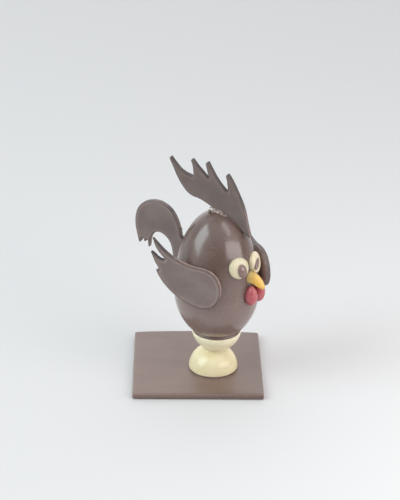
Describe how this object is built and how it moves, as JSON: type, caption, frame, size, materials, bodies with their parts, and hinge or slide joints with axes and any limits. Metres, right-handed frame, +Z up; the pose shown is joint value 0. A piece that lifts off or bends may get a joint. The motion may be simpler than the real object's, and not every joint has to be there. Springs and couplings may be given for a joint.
{
  "type": "chocolate cockerel",
  "caption": "Moulded chocolate cockerel: an egg body on an egg-cup foot and a flat plaque, with comb, tail, wings, domed eyes, beak and wattles.",
  "frame": {"origin": "centre of the plaque's square underside, on the surface it stands on", "axes": "+Z up; X and Y along the plaque's sides, +Y towards the plaque's bowed back edge; the bird faces -36 degrees from +X, towards the plaque's front right"},
  "size_m": [0.1042, 0.1024, 0.1765],
  "materials": {
    "dark_plaque": "dark chocolate poured flat, satin, faint casting marks",
    "dark_egg": "tempered dark chocolate from a polished mould, glossy",
    "dark_sheet": "dark chocolate poured thin, satin faces and rounded paler rims",
    "dark_drop": "piped dark chocolate, glossy",
    "ivory": "white chocolate from a mould, soft gloss, slightly mottled",
    "yellow": "yellow coloured white chocolate, soft gloss",
    "red": "red coloured white chocolate, soft gloss"
  },
  "bodies": {
    "root": {"plaque": "dark_plaque", "foot_dome": "ivory", "foot_cup": "ivory", "neck_bead": "dark_drop", "body": "dark_egg", "comb": "dark_sheet", "tail": "dark_sheet", "wing_right": "dark_sheet", "wing_left": "dark_sheet", "eye_right": "ivory", "eye_left": "ivory", "pupil_right": "dark_drop", "pupil_left": "dark_drop", "beak": "yellow", "wattle_right": "red", "wattle_left": "red"}
  },
  "joints": []
}
